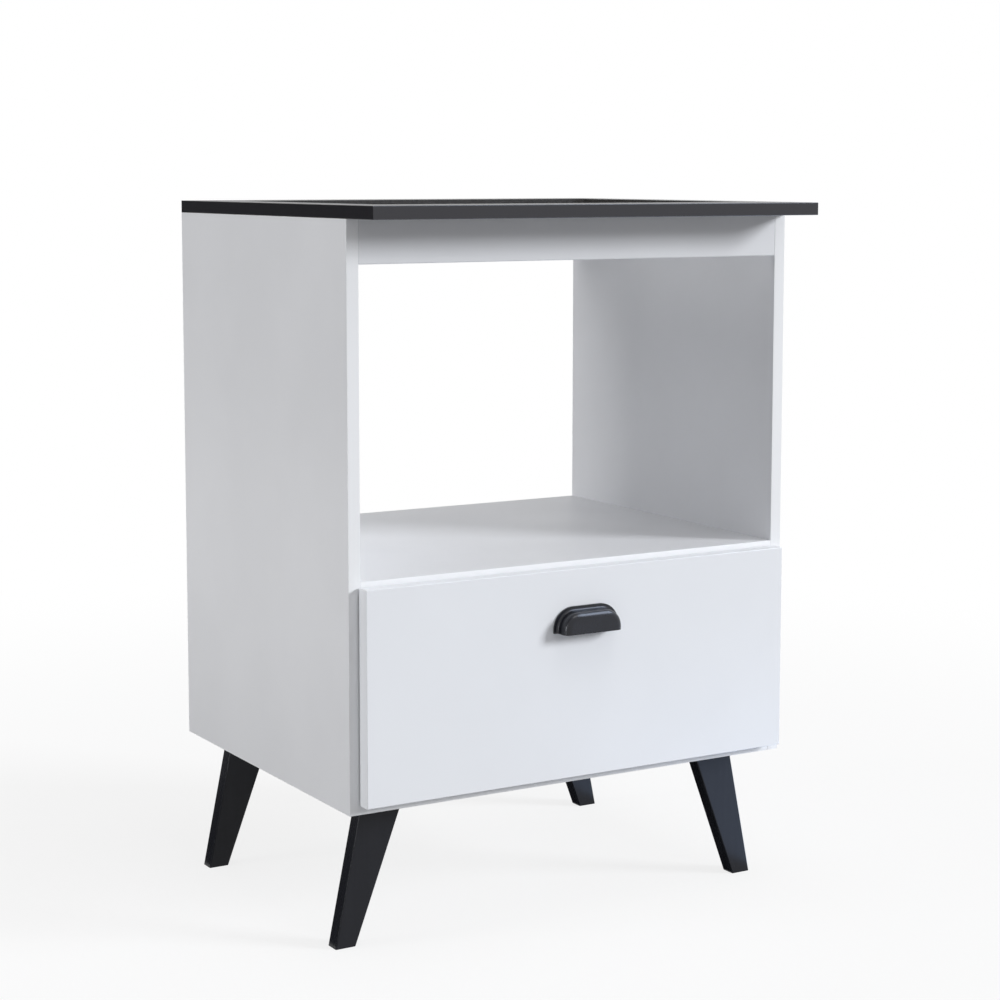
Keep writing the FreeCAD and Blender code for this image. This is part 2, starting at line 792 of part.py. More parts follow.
def main():
    os.makedirs("parts", exist_ok=True)
    sides = (LEFT, RIGHT)
    nodes = {
        "bottom_panel": bottom_panel(),
        "oven_shelf": oven_shelf(),
        "front_rail": top_rail(front_rail_middle, front_rail_cams, front_rail_dowels),
        "rear_rail": top_rail(rear_rail_middle, rear_rail_cams, rear_rail_dowels),
        "lower_back_panel": lower_back_panel(),
        "worktop": worktop(),
        "drawer_front": drawer_front(),
        "drawer_back": drawer_back(),
        "drawer_bottom": drawer_bottom(),
        "drawer_bumpers": drawer_bumpers(),
        "handle": handle(),
        "handle_screws": group(screw.solid() for screw in handle_screws()),
        "carcass_cams": group(joint.cam() for side in sides for joint in carcass_cams(side)),
        "carcass_cam_bolts": group(joint.bolt() for side in sides for joint in carcass_cams(side)),
        "carcass_dowels": group(joint.dowel() for side in sides for joint in carcass_dowels(side)),
        "drawer_cams": group(drawer_cam(side).cam() for side in sides),
        "drawer_cam_bolts": group(drawer_cam(side).bolt() for side in sides),
        "drawer_dowels": group(drawer_dowel(side).dowel() for side in sides),
        "front_roller_rivets": group(front_rivet(side) for side in sides),
        "rear_roller_rivets": group(rear_rivet(side) for side in sides),
        "leg_screws": group(screw.solid() for side in sides for middle in leg_places.values()
                            for screw in leg_screws(side, middle)),
        "worktop_screws": group(screw.solid() for middle in (front_rail_middle, rear_rail_middle)
                                for screw in worktop_screws(middle)),
        "runner_screws": group(screw.solid() for side in sides for screw in runner_screws(side)),
        "drawer_profile_screws": group(screw.solid() for side in sides
                                       for screw in support_screws(side)),
        "drawer_back_screws": group(screw.solid() for side in sides
                                    for screw in drawer_back_screws(side)),
        "drawer_bottom_screws": group(screw.solid() for screw in drawer_bottom_screws()),
    }
    for name, side in SIDES.items():
        nodes[f"{name}_side"] = side_panel(side)
        nodes[f"drawer_side_{name}"] = drawer_side(side)
        nodes[f"runner_channel_{name}"] = channel_profile(side)
        nodes[f"runner_profile_{name}"] = drawer_profile(side)
        nodes[f"front_roller_{name}"] = front_roller(side)
        nodes[f"rear_roller_{name}"] = rear_roller(side)
        for place, middle in leg_places.items():
            nodes[f"leg_{place}_{name}"] = leg(side, middle)
    for name, shape in nodes.items():
        shape.exportStep(f"parts/{name}.step")


main()
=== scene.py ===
import logging
import math
from collections.abc import Callable, Sequence
from dataclasses import dataclass, replace
from enum import Enum
from functools import cached_property

import bpy
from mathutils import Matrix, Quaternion, Vector


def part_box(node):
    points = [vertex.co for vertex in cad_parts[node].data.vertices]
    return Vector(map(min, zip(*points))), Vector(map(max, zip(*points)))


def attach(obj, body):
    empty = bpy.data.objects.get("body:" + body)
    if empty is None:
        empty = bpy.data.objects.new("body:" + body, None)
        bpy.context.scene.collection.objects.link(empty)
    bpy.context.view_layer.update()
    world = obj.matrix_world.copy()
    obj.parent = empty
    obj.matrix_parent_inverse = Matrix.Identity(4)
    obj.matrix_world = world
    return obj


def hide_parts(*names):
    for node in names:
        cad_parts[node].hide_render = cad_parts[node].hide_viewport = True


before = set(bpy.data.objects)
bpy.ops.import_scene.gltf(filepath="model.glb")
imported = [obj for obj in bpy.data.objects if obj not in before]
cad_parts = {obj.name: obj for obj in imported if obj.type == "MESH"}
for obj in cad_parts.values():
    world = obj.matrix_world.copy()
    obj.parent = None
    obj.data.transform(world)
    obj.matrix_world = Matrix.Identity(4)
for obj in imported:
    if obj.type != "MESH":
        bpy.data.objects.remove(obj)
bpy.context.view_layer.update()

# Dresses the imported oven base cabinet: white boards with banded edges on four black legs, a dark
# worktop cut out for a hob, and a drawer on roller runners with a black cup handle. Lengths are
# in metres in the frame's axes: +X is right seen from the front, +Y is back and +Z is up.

log = logging.getLogger("oven_base_cabinet")

Object = bpy.types.Object
Material = bpy.types.Material
Socket = bpy.types.NodeSocket
Point = Sequence[float]
Range = tuple[float, float]
Triple = tuple[float, float, float]
Colour = Triple
Box = tuple[Vector, Vector]
Test = Callable[..., bool]

MM = 0.001
TINY = 0.01 * MM  # levels that are nearer than this count as one

UP = Vector((0, 0, 1))
RIGHT = Vector((1, 0, 0))
BACK = Vector((0, 1, 0))


class Side(Enum):
    """A side of the cabinet, seen from the front."""

    LEFT = "left"
    RIGHT = "right"

    @property
    def sign(self) -> int:
        """The side's direction along X."""
        return -1 if self is Side.LEFT else 1


class Edge(Enum):
    """An edge of a board, as the axis that it crosses and its direction there."""

    LEFT = (0, -1)
    RIGHT = (0, 1)
    FRONT = (1, -1)
    REAR = (1, 1)
    BOTTOM = (2, -1)
    TOP = (2, 1)

    @property
    def axis(self) -> int:
        """The axis that the edge crosses."""
        return self.value[0]

    def level(self, box: Box) -> float:
        """Where the edge lies on its axis."""
        return box[0 if self.value[1] < 0 else 1][self.axis]


class Slot(Enum):
    """The record's material slots, which each new piece is handed over with but which this script
    does not use.
    """

    MELAMINE = "white_melamine"
    WORKTOP = "worktop_laminate"
    LACQUER = "black_lacquer"
    HANDLE = "handle_black"
    NYLON = "nylon"
    ZINC = "zinc_plate"
    RUBBER = "clear_rubber"


def tint(red: int, green: int, blue: int) -> Colour:
    """Gives the linear colour of a display colour from 0 to 255, by the sRGB curve."""
    shares = (value / 255 for value in (red, green, blue))
    return tuple(share / 12.92 if share <= 0.04045 else ((share + 0.055) / 1.055) ** 2.4
                 for share in shares)


def at_level(axis: int, level: float) -> Test:
    """Gives the test for an edge whose ends, or a face whose middle, lie at a level of an axis."""
    return lambda *points: all(abs(point[axis] - level) < TINY for point in points)


def middle_of(box: Box) -> Vector:
    """Gives a box's middle."""
    return (box[0] + box[1]) / 2


def length_along(box: Box, axis: Vector) -> float:
    """Measures a box along an axis."""
    return abs((box[1] - box[0]).dot(axis))


# Modelling by operators

def select_only(*objects: Object) -> None:
    """Selects these objects alone and makes the first one active.

    Args:
        *objects: The objects, or none to leave nothing selected.
    """
    for other in list(bpy.context.selected_objects):
        other.select_set(False)
    for obj in objects:
        obj.select_set(True)
    if objects:
        bpy.context.view_layer.objects.active = objects[0]


def settle(obj: Object, name: str) -> Object:
    """Names an object and moves its place into its mesh.

    Args:
        obj: The object.
        name: Its new name.

    Returns:
        The same object, at the origin, unturned and unscaled.
    """
    select_only(obj)
    obj.name = name
    obj.data.name = name
    bpy.ops.object.transform_apply(location=True, rotation=True, scale=True)
    return obj


def add_block(name: str, first: Point, second: Point) -> Object:
    """Adds a block between two opposite corners.

    Args:
        name: The block's name.
        first: One corner.
        second: The opposite corner.

    Returns:
        The block.
    """
    select_only()
    middle = (Vector(first) + Vector(second)) / 2
    reach = Vector(second) - Vector(first)
    bpy.ops.mesh.primitive_cube_add(size=1, location=middle, scale=[abs(size) for size in reach])
    return settle(bpy.context.object, name)


def add_rod(name: str, start: Point, end: Point, radius: float, faces: int = 48) -> Object:
    """Adds a round rod between two points.

    Args:
        name: The rod's name.
        start: The middle of one end.
        end: The middle of the other end.
        radius: Its radius.
        faces: How many faces go round it.

    Returns:
        The rod.
    """
    select_only()
    along = Vector(end) - Vector(start)
    bpy.ops.mesh.primitive_cylinder_add(
        vertices=faces, radius=radius, depth=along.length, location=Vector(start) + along / 2,
        rotation=along.to_track_quat("Z", "Y").to_euler())
    return settle(bpy.context.object, name)


def copy_of(obj: Object, name: str, place: Point = (0, 0, 0), turn: Point = (0, 0, 0)) -> Object:
    """Copies an object, with a mesh of its own.

    Args:
        obj: The object, modelled about the origin.
        name: The copy's name.
        place: Where the copy goes.
        turn: The angles that it is turned by first.

    Returns:
        The copy, with its place in its mesh.
    """
    select_only(obj)
    bpy.ops.object.duplicate(linked=False)
    copy = bpy.context.object
    copy.rotation_euler = turn
    copy.location = place
    return settle(copy, name)


def join(name: str, parts: list[Object]) -> Object:
    """Makes one object of several.

    Args:
        name: The joined object's name.
        parts: The objects, which keep their materials.

    Returns:
        The joined object.
    """
    select_only(*parts)
    if len(parts) > 1:
        bpy.ops.object.join()
    return settle(bpy.context.object, name)


def apply_modifier(obj: Object, kind: str, **settings: object) -> Object:
    """Adds a modifier to an object and applies it.

    Args:
        obj: The object.
        kind: The modifier's type.
        **settings: Its settings by name.

    Returns:
        The same object.
    """
    select_only(obj)
    modifier = obj.modifiers.new(kind.lower(), kind)
    for name, value in settings.items():
        setattr(modifier, name, value)
    bpy.ops.object.modifier_apply(modifier=modifier.name)
    return obj


def soften(obj: Object, width: float, segments: int = 3, sharper_than: float = 35.0) -> Object:
    """Rounds all of an object's edges that are sharper than an angle in degrees."""
    return apply_modifier(obj, "BEVEL", width=width, segments=segments, limit_method="ANGLE",
                          angle_limit=math.radians(sharper_than))


def clear_choice(obj: Object, kind: str) -> None:
    """Leaves nothing of a mesh selected, so that some of it can be chosen.

    Args:
        obj: The object.
        kind: What is going to be chosen, VERT or EDGE.
    """
    select_only(obj)
    bpy.ops.object.mode_set(mode="EDIT")
    bpy.ops.mesh.select_mode(type=kind)
    bpy.ops.mesh.select_all(action="DESELECT")
    bpy.ops.object.mode_set(mode="OBJECT")


def round_edges(obj: Object, radius: float, segments: int, chosen: Test) -> None:
    """Rounds an object's chosen edges.

    Args:
        obj: The object.
        radius: The rounding's radius.
        segments: How many faces go round it.
        chosen: Whether the edge between two points is rounded.
    """
    clear_choice(obj, "EDGE")
    points = [vertex.co for vertex in obj.data.vertices]
    for edge in obj.data.edges:
        edge.select = chosen(*(points[index] for index in edge.vertices))
    bpy.ops.object.mode_set(mode="EDIT")
    bpy.ops.mesh.bevel(offset=radius, segments=segments, affect="EDGES")
    bpy.ops.object.mode_set(mode="OBJECT")


def carve(obj: Object, cutters: list[Object]) -> Object:
    """Takes cutters out of an object, whose cut faces keep the cutters' materials.

    Args:
        obj: The object.
        cutters: The cutters, which are used up.

    Returns:
        The same object.
    """
    if cutters:
        cutter = join("cutter", cutters)
        apply_modifier(obj, "BOOLEAN", operation="DIFFERENCE", object=cutter, solver="EXACT",
                       use_self=True, material_mode="TRANSFER")
        bpy.data.objects.remove(cutter)
    return obj


def unite(obj: Object, other: Object) -> Object:
    """Melts another object into an object.

    Args:
        obj: The object.
        other: The other one, which is used up.

    Returns:
        The first object.
    """
    apply_modifier(obj, "BOOLEAN", operation="UNION", object=other, solver="EXACT")
    bpy.data.objects.remove(other)
    return obj


def shade(obj: Object, angle: float = 30.0) -> Object:
    """Smooths an object's shading over its gentle edges, and keeps its large faces flat.

    Args:
        obj: The object.
        angle: The angle in degrees above which an edge stays crisp.

    Returns:
        The same object.
    """
    select_only(obj)
    bpy.ops.object.shade_smooth_by_angle(angle=math.radians(angle))
    return apply_modifier(obj, "WEIGHTED_NORMAL", mode="FACE_AREA", weight=100, keep_sharp=True)


def solids_of(node: str, weld: float = 0.001 * MM) -> list[Box]:
    """Measures the separate solids of a CAD node.

    Args:
        node: The node's name.
        weld: How near two of its points are that count as one.

    Returns:
        The lowest and highest corner of each solid, from left to right.
    """
    select_only(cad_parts[node])
    bpy.ops.object.duplicate(linked=False)
    bpy.ops.object.mode_set(mode="EDIT")
    bpy.ops.mesh.select_all(action="SELECT")
    bpy.ops.mesh.remove_doubles(threshold=weld)
    bpy.ops.mesh.separate(type="LOOSE")
    bpy.ops.object.mode_set(mode="OBJECT")
    boxes = []
    for solid in list(bpy.context.selected_objects):
        axes = list(zip(*(vertex.co for vertex in solid.data.vertices)))
        boxes.append((Vector(map(min, axes)), Vector(map(max, axes))))
        bpy.data.objects.remove(solid)
    return sorted(boxes, key=lambda box: tuple(box[0]))


# Finishes

class Recipe:
    """The node tree of a material or of the surround, built one step at a time."""

    def __init__(self, owner: Material | bpy.types.World) -> None:
        """Starts the tree of a new material or surround.

        Args:
            owner: The material or the surround.
        """
        owner.use_nodes = True
        self.owner = owner
        self.tree = owner.node_tree

    @cached_property
    def place(self) -> Socket:
        """The place on the piece."""
        return self.add("TexCoord").outputs["Object"]

    def add(self, kind: str, **inputs: object) -> bpy.types.Node:
        """Adds a node of a type, with a value or a socket for each named input."""
        return self.fill(self.tree.nodes.new(f"ShaderNode{kind}"), **inputs)

    def fill(self, node: bpy.types.Node, **inputs: object) -> bpy.types.Node:
        """Fills in a node's inputs.

        Args:
            node: The node.
            **inputs: A value or a socket for each named input.

        Returns:
            The same node.
        """
        for name, value in inputs.items():
            self.give(node.inputs[name.replace("_", " ")], value)
        return node

    def give(self, socket: Socket, value: object) -> None:
        """Links a socket to another, or sets its value.

        Args:
            socket: The socket.
            value: The other socket, or the value.
        """
        if isinstance(value, Socket):
            self.tree.links.new(value, socket)
        else:
            socket.default_value = value

    def compute(self, kind: str, operation: str, *values: object) -> Socket:
        """Adds a node that calculates.

        Args:
            kind: The node's type, Math or VectorMath.
            operation: What it does.
            *values: A value or a socket for each input.

        Returns:
            The number that comes out.
        """
        node = self.add(kind)
        node.operation = operation
        for socket, value in zip(node.inputs, values):
            self.give(socket, value)
        return node.outputs["Value"]

    def stretched(self, stretch: Triple) -> Socket:
        """Scales the place on the piece along each axis. A small number draws a pattern out."""
        return self.add("Mapping", Vector=self.place, Scale=stretch).outputs["Vector"]

    def noise(self, per_metre: float, detail: float = 3.0, stretch: Triple = (1.0, 1.0, 1.0),
              twist: float = 0.0) -> Socket:
        """Adds a soft noise from 0 to 1, with so many cells in a metre."""
        return self.add("TexNoise", Vector=self.stretched(stretch), Scale=per_metre,
                        Detail=detail, Distortion=twist).outputs["Fac"]

    def chips(self, per_metre: float, stretch: Triple) -> Socket:
        """Adds pressed chips, so many in a metre, each of a colour of its own."""
        return self.add("TexVoronoi", Vector=self.stretched(stretch),
                        Scale=per_metre).outputs["Color"]

    def ramp(self, value: Socket, *stops: tuple[float, Colour]) -> Socket:
        """Lays colours over a value.

        Args:
            value: The value, from 0 to 1.
            *stops: Where each colour lies on it.

        Returns:
            The colour.
        """
        node = self.add("ValToRGB", Fac=value)
        elements = node.color_ramp.elements
        for index, (place, colour) in enumerate(stops):
            element = elements[index] if index < 2 else elements.new(place)
            element.position = place
            element.color = (*colour, 1)
        return node.outputs["Color"]

    def spread(self, value: Socket, low: float, high: float) -> Socket:
        """Lays a value from 0 to 1 between two others."""
        return self.add("MapRange", Value=value, To_Min=low, To_Max=high).outputs["Result"]

    def facing(self, direction: Triple, closely: float = 0.7) -> Socket:
        """Finds the faces that look along a direction.

        Args:
            direction: The direction.
            closely: The least cosine of the angle between the two.

        Returns:
            1 on those faces and 0 elsewhere.
        """
        normal = self.add("NewGeometry").outputs["Normal"]
        along = self.compute("VectorMath", "DOT_PRODUCT", normal, direction)
        return self.compute("Math", "GREATER_THAN", along, closely)

    def blend(self, share: Socket, first: Socket, second: Socket) -> Socket:
        """Mixes two colours.

        Args:
            share: How much of the second colour there is.
            first: The first colour.
            second: The second colour.

        Returns:
            The mixed colour.
        """
        node = self.add("Mix")
        node.data_type = "RGBA"
        # Input 0 is the share, and inputs 6 and 7 are the two colours.
        for index, value in ((0, share), (6, first), (7, second)):
            self.give(node.inputs[index], value)
        return node.outputs[2]

    def relief(self, height: Socket, depth: float) -> Socket:
        """Raises the surface by a height from 0 to 1, which stands for so many metres."""
        return self.add("Bump", Height=height, Distance=depth, Strength=1.0).outputs["Normal"]

    def seen_directly(self) -> Socket:
        """Tells what is looked at, or mirrored, from what only sheds light.

        Returns:
            1 for camera, glossy and transmission rays, and 0 for others.
        """
        rays = self.add("LightPath").outputs
        seen = rays["Is Camera Ray"]
        for name in ("Is Glossy Ray", "Is Transmission Ray"):
            seen = self.compute("Math", "MAXIMUM", seen, rays[name])
        return seen

    def finish(self, **inputs: object) -> Material:
        """Fills in the inputs of the material's surface."""
        self.fill(self.tree.nodes["Principled BSDF"], **inputs)
        return self.owner


@dataclass(frozen=True)
class Finish:
    """A surface of two near colours, with a grain that shapes its gloss and its relief."""

    name: str
    dark: Colour
    light: Colour
    clouds: float
    grain: float
    gloss: Range
    relief: float
    specular: float = 0.5
    stretch: Triple = (1.0, 1.0, 1.0)
    more: tuple[tuple[str, float], ...] = ()

    def colour(self, recipe: Recipe) -> Socket:
        """The colour, cloudy between the dark and the light one."""
        clouds = recipe.noise(self.clouds, stretch=self.stretch)
        return recipe.ramp(clouds, (0.35, self.dark), (0.65, self.light))

    @cached_property
    def material(self) -> Material:
        """The material, with its colour, gloss and relief, made at its first use."""
        recipe = Recipe(bpy.data.materials.new(self.name))
        grain = recipe.noise(self.grain, stretch=self.stretch)
        return recipe.finish(Base_Color=self.colour(recipe), Specular_IOR_Level=self.specular,
                             Roughness=recipe.spread(grain, *self.gloss),
                             Normal=recipe.relief(grain, self.relief), **dict(self.more))


@dataclass(frozen=True)
class PressedChips(Finish):
    """The raw chips at a bare edge or in a hole."""

    def colour(self, recipe: Recipe) -> Socket:
        """The colour, with one tone for each chip."""
        chips = recipe.chips(self.clouds, self.stretch)
        tone = recipe.add("SeparateColor", Color=chips).outputs["Red"]
        return recipe.ramp(tone, (0.05, self.dark), (0.95, self.light))


@dataclass(frozen=True)
class Hardboard(Finish):
    """Thin pressed fibre board, painted white except on the faces towards one direction."""

    paint: Colour = tint(231, 232, 234)
    wear: float = 0.96
    bare_towards: Triple = (0.0, 1.0, 0.0)

    def colour(self, recipe: Recipe) -> Socket:
        """The colour: white paint, or the fibre where it is bare."""
        fibre = recipe.noise(self.clouds, detail=7, twist=1.2)
        bare = recipe.ramp(fibre, (0.3, self.dark), (0.7, self.light))
        worn = tuple(self.wear * value for value in self.paint)
        painted = recipe.ramp(recipe.noise(9), (0.3, worn), (0.7, self.paint))
        return recipe.blend(recipe.facing(self.bare_towards), painted, bare)


# The boards' smooth melamine has a faint orange peel. The drawer front's foil is a little whiter
# and glossier, and the plastic band along an edge is drawn lengthwise.
MELAMINE = Finish("white melamine", tint(238, 239, 242), tint(241, 242, 245), clouds=7.0,
                  grain=900.0, gloss=(0.42, 0.54), relief=0.012 * MM, specular=0.3)
FOIL = replace(MELAMINE, name="white front foil", dark=tint(244, 246, 250),
               light=tint(246, 248, 252), gloss=(0.3, 0.4), specular=0.5)
EDGE_BAND = replace(FOIL, name="white edge band", dark=tint(249, 250, 252),
                    light=tint(251, 252, 254), grain=260.0, stretch=(0.2, 1.0, 0.05))

# The worktop's laminate has a fine pearled texture, and the legs' lacquer a faint long grain.
# The handle's moulded black is between satin and gloss.
LAMINATE = Finish("dark worktop laminate", tint(29, 28, 33), tint(36, 35, 41), clouds=1100.0,
                  grain=1400.0, gloss=(0.32, 0.4), relief=0.01 * MM, specular=0.54)
LACQUER = Finish("black lacquer", tint(34, 35, 40), tint(36, 37, 42), clouds=120.0, grain=420.0,
                 gloss=(0.22, 0.28), relief=0.01 * MM, specular=0.18, stretch=(1.0, 1.0, 0.05))
HANDLE_BLACK = Finish("handle black", tint(22, 24, 32), tint(26, 28, 37), clouds=90.0,
                      grain=1800.0, gloss=(0.22, 0.28), relief=0.006 * MM, specular=0.42)

# The runners are sheet steel under white epoxy. The screws, cams and rivets are zinc-plated.
COATED_STEEL = Finish("white coated steel", tint(224, 224, 220), tint(232, 232, 228),
                      clouds=30.0, grain=650.0, gloss=(0.28, 0.42), relief=0.04 * MM,
                      more=(("Coat Weight", 0.3), ("Coat Roughness", 0.25)))
NYLON = Finish("milky nylon", tint(222, 219, 208), tint(236, 234, 226), clouds=160.0,
               grain=900.0, gloss=(0.36, 0.54), relief=0.02 * MM)
ZINC = Finish("zinc plate", tint(172, 174, 178), tint(206, 208, 212), clouds=700.0, grain=900.0,
              gloss=(0.26, 0.42), relief=0.02 * MM, more=(("Metallic", 1.0),))
BEECH = Finish("raw beech", tint(184, 146, 101), tint(221, 190, 148), clouds=900.0,
               grain=1200.0, gloss=(0.6, 0.8), relief=0.08 * MM, stretch=(0.06, 1.0, 1.0))
RUBBER = Finish("clear rubber", tint(208, 213, 217), tint(226, 230, 233), clouds=400.0,
                grain=600.0, gloss=(0.18, 0.3), relief=0.01 * MM,
                more=(("Transmission Weight", 0.5), ("IOR", 1.46)))

# The cut edge under the hob is sealed against damp with a thin dark coat.
CHIPBOARD = PressedChips("raw chipboard", tint(146, 114, 78), tint(219, 194, 154), clouds=420.0,
                         grain=1300.0, gloss=(0.75, 0.95), relief=0.25 * MM,
                         stretch=(1.0, 0.5, 0.9))
SEALED_CHIPBOARD = replace(CHIPBOARD, name="sealed chipboard", dark=tint(30, 28, 27),
                           light=tint(44, 41, 39), gloss=(0.5, 0.8))
BACK_SHEET = Hardboard("back hardboard", tint(118, 86, 56), tint(158, 121, 83), clouds=500.0,
                       grain=620.0, gloss=(0.5, 0.75), relief=0.05 * MM)
DRAWER_SHEET = replace(BACK_SHEET, name="drawer hardboard", bare_towards=(0.0, 0.0, -1.0))


def dress(obj: Object, material: Material) -> Object:
    """Gives a whole object one material.

    Args:
        obj: The object.
        material: The material.

    Returns:
        The same object.
    """
    obj.data.materials.clear()
    obj.data.materials.append(material)
    return obj


def dress_faces(obj: Object, material: Material, chosen: Test) -> None:
    """Gives an object's chosen faces a further material.

    Args:
        obj: The object.
        material: The further material.
        chosen: Whether the face with this middle gets it.
    """
    obj.data.materials.append(material)
    for polygon in obj.data.polygons:
        if chosen(polygon.center):
            polygon.material_index = len(obj.data.materials) - 1


def dress_node(node: str, material: Material) -> None:
    """Gives a CAD node, whose own shape stays, its material."""
    dress(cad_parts[node], material)
    log.info("%s keeps its CAD shape", node)


def hand_over(piece: Object, body: str, slot: Slot, *nodes: str) -> None:
    """Puts a finished piece on its body, in place of its CAD nodes.

    Args:
        piece: The piece.
        body: The body that it rides on.
        slot: The record's slot that its finish belongs to; not used.
        *nodes: The nodes that it stands for.
    """
    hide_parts(*nodes)
    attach(piece, body)
    log.info("%s rides on %s: %d faces", piece.name, body, len(piece.data.polygons))


# Boards

@dataclass
class Board:
    """A melamine-faced chipboard with a plastic band on some edges and bare chips on others."""

    node: str
    body: str
    banded: tuple[Edge, ...] = (Edge.FRONT,)
    bare: tuple[Edge, ...] = (Edge.REAR,)
    band_thickness: float = 0.5 * MM
    band_rounding: float = 0.4 * MM
    arris: float = 0.15 * MM

    @cached_property
    def box(self) -> Box:
        """The board's own box."""
        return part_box(self.node)

    def band(self, edge: Edge) -> Object:
        """Models the band on one edge, rounded along its outer face.

        Args:
            edge: The edge.

        Returns:
            The band.
        """
        low, high = (corner.copy() for corner in self.box)
        outer = edge.level(self.box)
        low[edge.axis], high[edge.axis] = outer, outer - edge.value[1] * self.band_thickness
        band = add_block("band", low, high)
        round_edges(band, self.band_rounding, 3, at_level(edge.axis, outer))
        return dress(band, EDGE_BAND.material)

    def core(self) -> Object:
        """Models the board between its bands, with its bare edges.

        Returns:
            The core.
        """
        low, high = (corner.copy() for corner in self.box)
        for edge in self.banded:
            (low if edge.value[1] < 0 else high)[edge.axis] -= edge.value[1] * self.band_thickness
        core = dress(soften(add_block("core", low, high), self.arris, 2), MELAMINE.material)
        if self.bare:
            tests = [at_level(edge.axis, edge.level(self.box)) for edge in self.bare]
            dress_faces(core, CHIPBOARD.material, lambda middle: any(
                test(middle) for test in tests))
        return core

    def build(self, *cutters: Object) -> None:
        """Models the board and puts it in place of its CAD node.

        Args:
            *cutters: What is cut out of it, down to bare chips.
        """
        core = carve(self.core(), [dress(cutter, CHIPBOARD.material) for cutter in cutters])
        bands = [self.band(edge) for edge in self.banded]
        board = shade(join(f"{self.node}_board", [core, *bands]))
        hand_over(board, self.body, Slot.MELAMINE, self.node)


@dataclass(frozen=True)
class CamPockets:
    """The round pockets that cams sit in."""

    cams: str
    radius: float = 7.5 * MM

    def cutters(self, node: str, mouth: Vector) -> list[Object]:
        """Models the cutters for the cams that sit in one board.

        Args:
            node: The board's node.
            mouth: The direction that the pockets open in.

        Returns:
            One cutter for each pocket.
        """
        low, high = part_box(node)
        rods = []
        for cam in solids_of(self.cams):
            middle = middle_of(cam)
            if all(low[axis] < middle[axis] < high[axis] for axis in range(3)):
                reach = mouth * length_along(cam, mouth) / 2
                rods.append(add_rod("pocket", middle - reach, middle + reach + mouth * MM,
                                    self.radius, 40))
        return rods


@dataclass
class Carcass:
    """The white boards between the legs and the worktop, and the thin sheet behind."""

    rail_arris: float = 0.8 * MM
    pockets: CamPockets = CamPockets("carcass_cams")

    def build(self) -> None:
        """Models every board of the carcass."""
        for side in Side:
            Board(f"{side.value}_side", "cabinet", bare=(Edge.REAR, Edge.BOTTOM)).build()
        for node in ("bottom_panel", "oven_shelf"):
            Board(node, "cabinet").build(*self.pockets.cutters(node, -UP))
        for node, mouth in (("front_rail", BACK), ("rear_rail", -BACK)):
            Board(node, "cabinet", (Edge.BOTTOM,), (), arris=self.rail_arris).build(
                *self.pockets.cutters(node, mouth))
        dress_node("lower_back_panel", BACK_SHEET.material)


@dataclass
class Worktop:
    """The dark worktop, banded on all four edges, with a cut-out for the hob."""

    cutout_width: float = 500 * MM
    cutout_depth: float = 360 * MM
    cutout_front_margin: float = 87 * MM
    cutout_corner: float = 12 * MM
    band_thickness: float = 1 * MM
    band_rounding: float = 0.9 * MM
    arris: float = 0.12 * MM

    def opening(self) -> Object:
        """Models the cutter for the hob's opening.

        Returns:
            The cutter, with round corners.
        """
        low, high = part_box("worktop")
        front = low.y + self.cutout_front_margin
        reach, spare = self.cutout_width / 2, 10 * MM
        opening = add_block("opening", (-reach, front, low.z - spare),
                            (reach, front + self.cutout_depth, high.z + spare))
        round_edges(opening, self.cutout_corner, 12, lambda a, b: abs(a.z - b.z) > spare)
        return dress(opening, SEALED_CHIPBOARD.material)

    def bands(self) -> list[Object]:
        """Models the four bands: the front and rear ones lie over the ends of the side ones.

        Returns:
            The bands.
        """
        low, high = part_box("worktop")
        thick = self.band_thickness
        bands = []
        for edge in (Edge.FRONT, Edge.REAR, Edge.LEFT, Edge.RIGHT):
            first, second = low.copy(), high.copy()
            if edge.axis == 0:
                first.y, second.y = low.y + thick, high.y - thick
            outer = edge.level((low, high))
            first[edge.axis], second[edge.axis] = outer, outer - edge.value[1] * thick
            band = add_block("band", first, second)
            round_edges(band, self.band_rounding, 4, lambda a, b: (
                at_level(edge.axis, outer)(a, b) and abs(a.z - b.z) < MM))
            bands.append(dress(band, LAMINATE.material))
        return bands

    def build(self) -> None:
        """Models the slab, its bands and its opening."""
        low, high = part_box("worktop")
        inset = Vector((self.band_thickness, self.band_thickness, 0))
        slab = soften(add_block("slab", low + inset, high - inset), self.arris, 2)
        carve(dress(slab, LAMINATE.material), [self.opening()])
        worktop = shade(join("worktop_slab", [slab, *self.bands()]))
        hand_over(worktop, "cabinet", Slot.WORKTOP, "worktop")


